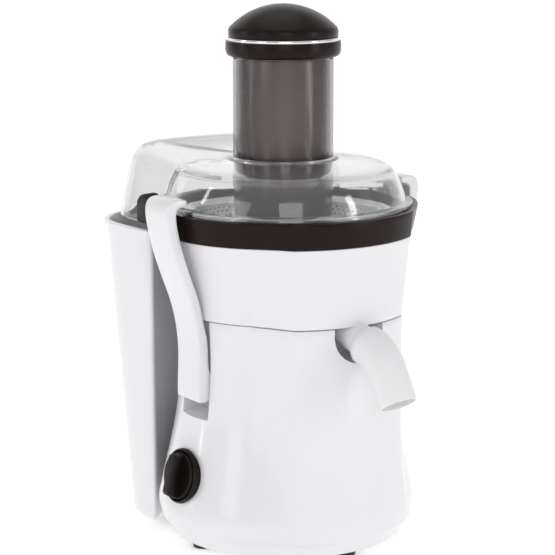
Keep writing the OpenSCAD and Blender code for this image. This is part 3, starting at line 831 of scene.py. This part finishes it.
def buildLid():
    turns = lidAngles()
    rows = []
    ty = lid["tubeY"]

    def ring(roundRow, hoodRow, inset=0.0, lower=None):
        row = []
        for a in turns:
            c, s = math.cos(a), math.sin(a)
            rr = roundRow[1] - inset
            hr = hoodRadius(c, s, max(hoodRow[1] - inset, 0.5)) if s > 0.2 else 0.0
            r = softMax(rr, hr, 5.0)
            share = smoothStep(0.0, 7.0, hr - rr)
            start, rise, at = lid["roof"]
            crown, crownHalf = lid["crown"]
            lowFrom, lowTo = lid["lowWall"]
            roof = start + rise * (r * s - at) - (inset if inset else 0) - crown * (r * c / crownHalf) ** 2
            z = mix(roundRow[0], softMin(hoodRow[0], roof, 4.0), share)
            if lower is not None and s > 0 and r * s > lowFrom and abs(r * c) < lid["lowHalf"] and share > 0.55:
                z = mix(z, lower, smoothStep(lowFrom, lowTo, r * s))
            row.append((r * c, r * s, z))
        return row

    t = lid["wall"]
    rr, hr = lid["roundRows"], lid["hoodRows"]
    skirt = (rr[0][0], rr[0][1])
    low = lid["hoodLow"]
    # outside, from the lowest edge to the tube
    for k in (0.0, 0.35, 0.7):
        level = mix(low, 253.4, k)
        grow = mix(3.8, 0.0, k)
        rows.append(ring(skirt, (hr[0][0], hr[0][1] + grow), 0.0, level))
    for a, b in zip(rr, hr):
        rows.append(ring(a, b))
    top = [(37.5 * math.cos(a), ty + 37.5 * math.sin(a), 286.8) for a in turns]
    rows.append(top)
    # inside, back down to the edge
    under = [(37.5 * math.cos(a), ty + 37.5 * math.sin(a), 286.8 - t) for a in turns]
    rows.append(under)
    for a, b in zip(reversed(rr[:-1]), reversed(hr[:-1])):
        drop = t * smoothStep(274, 283, a[0])
        rows.append(ring((a[0] - drop, a[1]), (b[0] - drop, b[1]), t))
    for k in (0.7, 0.35, 0.0):
        level = mix(low, 253.4, k)
        grow = mix(3.8, 0.0, k)
        rows.append(ring(skirt, (hr[0][0], hr[0][1] + grow), t, level))
    shell = gridObject("lid_shell", rows, loop=True)
    settle(shell, 50)
    place(shell, "lid", "clear_lid", clearPlastic, "lid")
    tr = 37.2
    tube = latheObject("feed_tube", [(tr - 1.5, 205.2), (tr - 0.4, 262), (tr, 283), (tr, 360.3),
                                     (tr - 0.6, 361),
                                     (tr - 1.7, 361), (tr - 2.3, 360.4), (tr - 2.3, 283), (tr - 2.7, 262),
                                     (tr - 3.8, 205.6), (tr - 3.2, 205)], 128, centre=(0, ty))
    settle(tube)
    place(tube, "lid", "clear_lid", tubePlastic)
    bead = latheObject("tube_bead", [(37.3, 284.6), (41.4, 284.8), (41.9, 285.6), (41.4, 287.0),
                                     (40.0, 288.2), (38, 288.4),
                                     (37.3, 288.2)], 128, centre=(0, ty))
    settle(bead)
    place(bead, "lid", "clear_lid", clearPlastic)
    flangeProfile = [(86.2, 253.3), (93.5, 253.3), (93.9, 253.8), (93.9, 254.8), (93.3, 255.4),
                     (89.4, 255.6), (88.4, 256.4),
                     (86.2, 256.4)]
    flange = latheObject("lid_flange", flangeProfile, 160)
    gap = slabObject("gap", [(-74, 248), (74, 248), (74, 262), (-74, 262)], 50, 110)
    sides = []
    for s in (1, -1):
        sides.append(slabObject("sideGap", [(s * 80.2, 250), (s * 84.9, 250), (s * 84.9, 262),
                                            (s * 80.2, 262)], 36, 80))
    cutBy(flange, [gap] + sides)
    place(flange, "lid", "clear_lid", clearPlastic)
    for s, name in ((1, "lid_ear_right"), (-1, "lid_ear_left")):
        ear = slabObject(name, [(s * 88.5, 253.3), (s * 98.9, 253.3), (s * 98.9, 256.1), (s * 88.5, 256.1)],
                         -12.4, 12.4)
        addBevel(ear, 0.8, 3)
        place(settle(ear), "lid", "clear_lid", clearPlastic)


buildLid()


# The round wall's ends and arch inside the hood, either side of the pulp doorway
def buildPartition():
    rows = []
    for r, z in [(88.0, 254.2), (87.6, 260), (85.4, 268), (83.2, 273), (81.4, 276.6), (79.4, 276.2),
                 (81.2, 272.5), (83.2, 267.6),
                 (85.4, 260), (85.8, 254.2)]:
        rows.append([(r * math.cos(math.radians(a)), r * math.sin(math.radians(a)),
                      z) for a in range(26, 155, 2)])
    n = len(rows[0])
    verts = [p for row in rows for p in row]
    faces = []
    for i in range(len(rows)):
        k = (i + 1) % len(rows)
        for j in range(n - 1):
            faces.append((i * n + j, i * n + j + 1, k * n + j + 1, k * n + j))
    faces.append(tuple(i * n for i in range(len(rows))))
    faces.append(tuple(i * n + n - 1 for i in reversed(range(len(rows)))))
    wall = newObject("lid_partition", verts, faces)
    door = slabObject("door", rounded([(-58, 240), (58, 240), (58, 272), (-58, 272)], 8), 30, 110)
    cutBy(wall, [door])
    addBevel(wall, 0.5)
    place(settle(wall), "lid", "clear_lid", clearPlastic)


buildPartition()
print("lid ready")


# pusher

pusher = {"y": 4.0, "r": 33.0, "cap": 40.5, "domeCentre": 345.4, "domeR": 54.6}


def buildPusher():
    y, r, cap = pusher["y"], pusher["r"], pusher["cap"]
    body = latheObject("pusher_tube", [
        (0.01, 208.2), (r - 5, 208.2), (r - 2.4, 208.8), (r - 1.2, 211), (r, 361.5), (r + 2.6, 362.2),
        (r + 2.8, 364.6), (r - 2.2, 364.6), (r - 2.2, 361), (r - 3.4, 212), (r - 6, 210.6), (0.01, 210.6)
    ], 128, centre=(0, y), closed=False)
    settle(body)
    place(body, "pusher", "smoky_pusher", smokyPlastic, "pusher_body")
    key = slabObject("pusher_key_right", rounded([(r - 2.0, 290.2), (r + 1.0, 290.2), (r + 1.0, 357.8),
                                                  (r - 2.0, 357.8)], 0.8), y - 2.4, y + 2.4)
    addBevel(key, 0.4)
    settle(key)
    other = mirrored(key, "pusher_key_left")
    place(key, "pusher", "smoky_pusher", smokyPlastic)
    place(other, "pusher", "smoky_pusher", smokyPlastic)
    ring = latheObject("pusher_collar_look", [
        (r + 3, 362.0), (cap - 1.2, 361.9), (cap + 0.6, 362.6), (cap + 1.6, 364.2), (cap + 2.1, 366.4),
        (cap + 2.1, 371.6),
        (cap + 1.8, 372.9), (cap + 1.2, 373.3), (r, 373.3), (r, 370), (r + 2.9, 366)
    ], 128, centre=(0, y))
    settle(ring)
    place(ring, "pusher", "dark_trim", darkPlastic, "pusher_collar")
    band = latheObject("pusher_band_look", [
        (r, 373.4), (cap + 0.8, 373.4), (cap + 1.1, 373.8), (cap + 1.1, 375.2), (cap + 0.7, 375.7),
        (r, 375.7)
    ], 128, centre=(0, y))
    settle(band)
    place(band, "pusher", "silver_band", brightMetal, "pusher_band")
    dome = [(cap - 3, 375.9), (cap - 0.4, 375.9), (cap, 376.4), (cap, 381.0)]
    start = math.asin((cap - 0.6) / pusher["domeR"])
    steps = 26
    for i in range(steps):
        a = start * (1 - i / steps)
        dome.append((pusher["domeR"] * math.sin(a), pusher["domeCentre"] + pusher["domeR"] * math.cos(a)))
    dome.append((0.01, pusher["domeCentre"] + pusher["domeR"]))
    top = latheObject("pusher_dome", dome, 128, centre=(0, y), closed=False)
    settle(top, 50)
    place(top, "pusher", "dark_trim", darkPlastic, "pusher_cap")


buildPusher()


# pulp container

container = {
    "low": {"x": 36.0, "y": 80.0, "r": 43.5, "side": 79.5},
    "high": {"x": 41.5, "y": 99.0, "r": 47.5, "side": 85.5},
    "z": (2.0, 232.5), "front": 99.4, "wall": 2.2, "edgeShare": 0.24, "edgeTurn": 0.12,
}


# Outline at one height: two sides, two rounded back corners and the hollow front
def containerRing(z, inset=0.0, frontInset=None):
    t = (z - container["z"][0]) / (container["z"][1] - container["z"][0])
    lo, hi = container["low"], container["high"]
    cx, cy = mix(lo["x"], hi["x"], t), mix(lo["y"], hi["y"], t)
    r = mix(lo["r"], hi["r"], t) - inset
    side = mix(lo["side"], hi["side"], t) - inset
    front = container["front"] + (inset if frontInset is None else frontInset)
    tipY = math.sqrt(front * front - side * side)
    wide = cx + r
    # right side from the rounded front edge back to the corner
    start = container["edgeShare"]
    right = []
    for k in range(10):
        u = mix(start, 1, k / 10)
        right.append((mix(side, wide, math.sin(u * math.pi / 2)), mix(tipY, cy, u)))
    for k in range(17):
        a = math.radians(90 * k / 16)
        right.append((cx + r * math.cos(a), cy + r * math.sin(a)))
    back = [(cx * (1 - 2 * k / 8), cy + r) for k in range(1, 8)]
    left = [(-x, y) for x, y in reversed(right)]
    a0 = math.atan2(tipY, -side) - container["edgeTurn"]
    a1 = math.atan2(tipY, side) + container["edgeTurn"]
    hollow = [(front * math.cos(mix(a0, a1, k / 30)),
               front * math.sin(mix(a0, a1, k / 30))) for k in range(31)]
    tip = Vector((side, tipY))

    def turned(p, q, corner):
        p, q = Vector(p), Vector(q)
        return [tuple(p * (1 - u) ** 2 + corner * (2 * u * (1 - u)) + q * u * u)
                for u in [k / 9 for k in range(1, 9)]]

    firstArc = turned(hollow[-1], right[0], tip)
    secondArc = turned(left[-1], hollow[0], Vector((-side, tipY)))
    return [(x, y, z) for x, y in right + back + left + secondArc + hollow + firstArc]


def buildContainer():
    low = container["z"][0]
    rows = [containerRing(low, 4.5, 4.5), containerRing(low + 0.9, 2.0, 2.0),
            containerRing(low + 2.6, 0.6, 0.6), containerRing(low + 5)]
    z = 14.0
    while z < 226:
        rows.append(containerRing(z))
        z += 10.0
    rows += [containerRing(228.8), containerRing(229.3, -1.2, 0), containerRing(229.9, -1.9, 0),
             containerRing(231.8, -2.0, 0),
             containerRing(232.4, -1.5, 0.3), containerRing(232.5, 0.4, 0.8),
             containerRing(232.4, 1.8, 1.8), containerRing(231.8, 2.2)]
    z = 224.0
    while z > 12:
        rows.append(containerRing(z, 2.2))
        z -= 20.0
    rows += [containerRing(low + 5, 3.0), containerRing(low + 2.8, 5.5)]
    shell = gridObject("container_shell", rows, capFirst=True, capLast=True)
    settle(shell, 50)
    place(shell, "container", "white_shell", whitePlastic, "pulp_container")


buildContainer()
print("pusher and container ready")


# knob

def buildKnob():
    bezel = latheObject("knob_bezel_look", [
        (18.4, -1), (18.4, 3.2), (18.8, 3.9), (19.6, 4.0), (20.1, 3.4), (20.5, 1.2), (19.6, 0.9),
        (19.1, 0.7), (19.1, -3), (8.2, -3),
        (8.2, -1)
    ], 96)
    moved(bezel, knobFrame(0))
    settle(bezel)
    place(bezel, "base", "dark_trim", knobPlastic, "knob_bezel")
    dial = latheObject("knob_dial", [
        (0.01, -0.5), (17.4, -0.5), (17.7, 0), (17.4, 4.2), (16.8, 5), (14.2, 5.1), (13.4, 4.6), (0.01, 4.6)
    ], 96, closed=False)
    moved(dial, knobFrame(0))
    settle(dial)
    place(dial, "knob", "dark_trim", knobPlastic, "speed_knob")
    grip = slabObject("knob_grip", rounded([(-16.8, 2), (16.8, 2), (15.4, 13.4), (-15.4, 13.4)], 3.5, 5),
                      -4.6, 4.6)
    addBevel(grip, 1.5, 4, 50)
    settle(grip)
    moved(grip, knobFrame(0))
    place(grip, "knob", "dark_trim", knobPlastic)
    stem = latheObject("knob_stem", [(0.01, -16), (2.7, -16), (3, -15.6), (3, 0), (0.01, 0)], 40,
                       closed=False)
    moved(stem, knobFrame(0))
    settle(stem)
    place(stem, "knob", "dark_trim", knobPlastic)


buildKnob()


# sieve: teeth by geometry nodes, and its openings as dark discs of painted shade
sieve = {"rings": 6, "teethFirst": 8, "teethMore": 6, "holeRows": 15, "lowR": 58.0, "highR": 80.2,
         "low": 197.0, "high": 241.0}


def buildSieve():
    disc = latheObject("grater_plate", [(0.01, 197.2), (56.6, 197.2), (56.6, 198.6), (9, 198.6), (7, 201),
                                        (5.6, 201.4), (0.01, 201.4)],
                       128, closed=False)
    settle(disc)
    place(disc, "rotor", "stainless", steelSheet, "grater_disc")
    points, turns = [], []
    for ring in range(1, sieve["rings"] + 1):
        count = sieve["teethFirst"] + sieve["teethMore"] * ring
        r = 6 + 7.8 * ring
        for k in range(count):
            a = 2 * math.pi * (k + 0.5 * (ring % 2)) / count
            points.append((r * math.cos(a), r * math.sin(a), 199.2))
            turns.append((0.0, math.radians(28), a + math.pi / 2))
    teeth = scattered("grater_teeth", points, turns,
                      {"node": "GeometryNodeMeshCone",
                       "inputs": {"Vertices": 6, "Radius Top": 0.0001, "Radius Bottom": 0.0012,
                                                                 "Depth": 0.0016}}, steelSheet)
    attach(teeth, "rotor")
    low, high = sieve["low"], sieve["high"]
    lowR, highR = sieve["lowR"], sieve["highR"]
    wall = latheObject("sieve_cone", [(lowR - 1, low + 0.3), (lowR, low + 0.2), (highR, high),
                                      (highR - 1, high), ], 160)
    settle(wall)
    place(wall, "rotor", "stainless", steelSheet, "sieve_wall")
    points, turns = [], []
    lean = math.atan2(highR - lowR, high - low)
    for row in range(sieve["holeRows"]):
        t = (row + 0.8) / (sieve["holeRows"] + 0.6)
        r = mix(lowR, highR, t) - 1.05
        z = mix(low, high, t)
        count = 104
        for k in range(count):
            a = 2 * math.pi * (k + 0.5 * (row % 2)) / count
            points.append((r * math.cos(a), r * math.sin(a), z))
            turns.append((0.0, -(math.pi / 2 - lean), a))
    # Dark discs at the openings are painted shade, not cut holes
    holeShade = scattered("sieve_opening_shade", points, turns,
                      {"node": "GeometryNodeMeshCylinder",
                       "inputs": {"Vertices": 10, "Radius": 0.00075, "Depth": 0.00012}}, paintedHoleShade)
    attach(holeShade, "rotor")
    rim = latheObject("sieve_rim_look", [
        (80.4, 241.2), (82.4, 243.6), (82.9, 244.2), (82.9, 245.6), (82.3, 246.3), (81.2, 246.3),
        (80.4, 245.8), (78.4, 241.4)
    ], 160)
    settle(rim)
    place(rim, "rotor", "stainless", brightMetal, "sieve_rim")


buildSieve()
print("sieve and knob ready")


# pieces that keep the CAD shape, with worked edges

kept = [
    ("base_plate", 0.5, "white_shell", whitePlastic), ("feet", 0.6, "black_rubber", blackRubber),
    ("base_screws", 0.15, "steel", turnedSteel), ("cord_gland", 0.4, "black_rubber", blackRubber),
    ("terminal_block", 0.4, "pale_nylon", paleNylon), ("shaft_seal", 0.3, "black_rubber", blackRubber),
    ("latch_pin_left", 0.3, "steel", turnedSteel), ("latch_pin_right", 0.3, "steel", turnedSteel),
    ("switch_body", 0.4, "pale_nylon", paleNylon), ("interlock_switch", 0.3, "grey_nylon", greyNylon),
    ("sieve_hub", 0.4, "grey_nylon", greyNylon), ("drive_coupling", 0.3, "grey_nylon", greyNylon),
    ("motor_shaft", 0.2, "steel", turnedSteel), ("armature_core", 0.15, "laminations", ironSheets),
    ("armature_winding", 0.5, "copper", copperWire), ("commutator", 0.1, "copper", copperWire),
    ("cooling_fan", 0.25, "pale_nylon", paleNylon), ("upper_bearing", 0.25, "steel", turnedSteel),
    ("lower_bearing", 0.25, "steel", turnedSteel), ("upper_bracket", 0.4, "alloy", castAlloy),
    ("lower_bracket", 0.4, "alloy", castAlloy), ("stator_core", 0.3, "laminations", ironSheets),
    ("field_coils", 1.2, "copper", copperWire), ("brush_holders", 0.2, "brass", brassSheet),
    ("carbon_brushes", 0.15, "carbon", carbonBlock), ("motor_mounts", 0.5, "black_rubber", blackRubber),
    ("motor_screws", 0.15, "steel", turnedSteel),
]
bodyOf = {n: b for b, members in frame["record"]["behaviour"]["bodies"].items() for n in members}
for node, width, slotName, material in kept:
    piece = fromCad(node, width)
    place(piece, bodyOf[node], slotName, material)
print("inner pieces ready")


# stage

def buildStage():
    floorMat = newMaterial("paleFloor", {"colour": (0.93, 0.93, 0.93), "roughness": 0.9, "bump": 0.0,
                                         "tint": 0.995})
    shade = floorMat.node_tree.nodes["Principled BSDF"]
    shade.inputs["Emission Color"].default_value = (1, 1, 1, 1)
    shade.inputs["Emission Strength"].default_value = 0.34
    rows = []
    for y, z in [(-2500, 0), (700, 0), (1300, 30), (1900, 160), (2400, 480), (2600, 1000), (2700, 3200)]:
        rows.append([(x, y, z) for x in (-3500, 3500)])
    verts = [p for row in rows for p in row]
    faces = [(2 * i, 2 * i + 1, 2 * i + 3, 2 * i + 2) for i in range(len(rows) - 1)]
    floor = newObject("floor", verts, faces)
    floor.data.transform(Matrix.Rotation(math.radians(-35), 4, "Z"))
    floor.data.materials.append(floorMat)

    world = bpy.data.worlds.new("world")
    bpy.context.scene.world = world
    world.use_nodes = True
    world.node_tree.nodes["Background"].inputs["Color"].default_value = (1, 1, 1, 1)
    world.node_tree.nodes["Background"].inputs["Strength"].default_value = 0.55


lights = [
    {"name": "key", "at": (-1.15, -1.95, 0.9), "size": (0.9, 1.3), "power": 7.0},
    {"name": "right", "at": (1.7, -1.3, 0.8), "size": (0.5, 1.6), "power": 0.6},
    {"name": "band", "at": (1.05, -1.7, 0.55), "size": (0.24, 1.4), "power": 6.0},
    {"name": "left", "at": (-2.0, -0.35, 0.7), "size": (0.6, 1.2), "power": 3.4},
    {"name": "edge", "at": (-1.5, 1.0, 0.6), "size": (0.12, 1.4), "power": 3},
    {"name": "top", "at": (0.1, 0.3, 2.1), "size": (1.2, 1.4), "power": 5},
]


def addLights():
    for setup in lights:
        data = bpy.data.lights.new(setup["name"], "AREA")
        data.shape = "RECTANGLE"
        data.size, data.size_y = setup["size"]
        data.energy = setup["power"]
        lamp = bpy.data.objects.new(setup["name"], data)
        bpy.context.scene.collection.objects.link(lamp)
        lamp.location = setup["at"]
        aim = Vector((0, 0, 0.2)) - lamp.location
        lamp.rotation_euler = aim.to_track_quat("-Z", "Y").to_euler()


view = {"azimuth": -35.0, "elevation": 11.3, "distance": 1.570, "aim": (-0.00534, 0.00374, 0.196),
        "lens": 135.9}


def addCamera():
    a, e = math.radians(view["azimuth"]), math.radians(view["elevation"])
    back = Vector((math.sin(a) * math.cos(e), -math.cos(a) * math.cos(e), math.sin(e)))
    data = bpy.data.cameras.new("camera")
    data.lens = view["lens"]
    data.sensor_width = 36
    data.clip_start = 0.05
    data.clip_end = 20
    camera = bpy.data.objects.new("camera", data)
    bpy.context.scene.collection.objects.link(camera)
    camera.location = Vector(view["aim"]) + back * view["distance"]
    camera.rotation_euler = (-back).to_track_quat("-Z", "Y").to_euler()
    bpy.context.scene.camera = camera


buildStage()
addLights()
addCamera()
bpy.context.scene.view_settings.view_transform = "Standard"

print("stage ready")
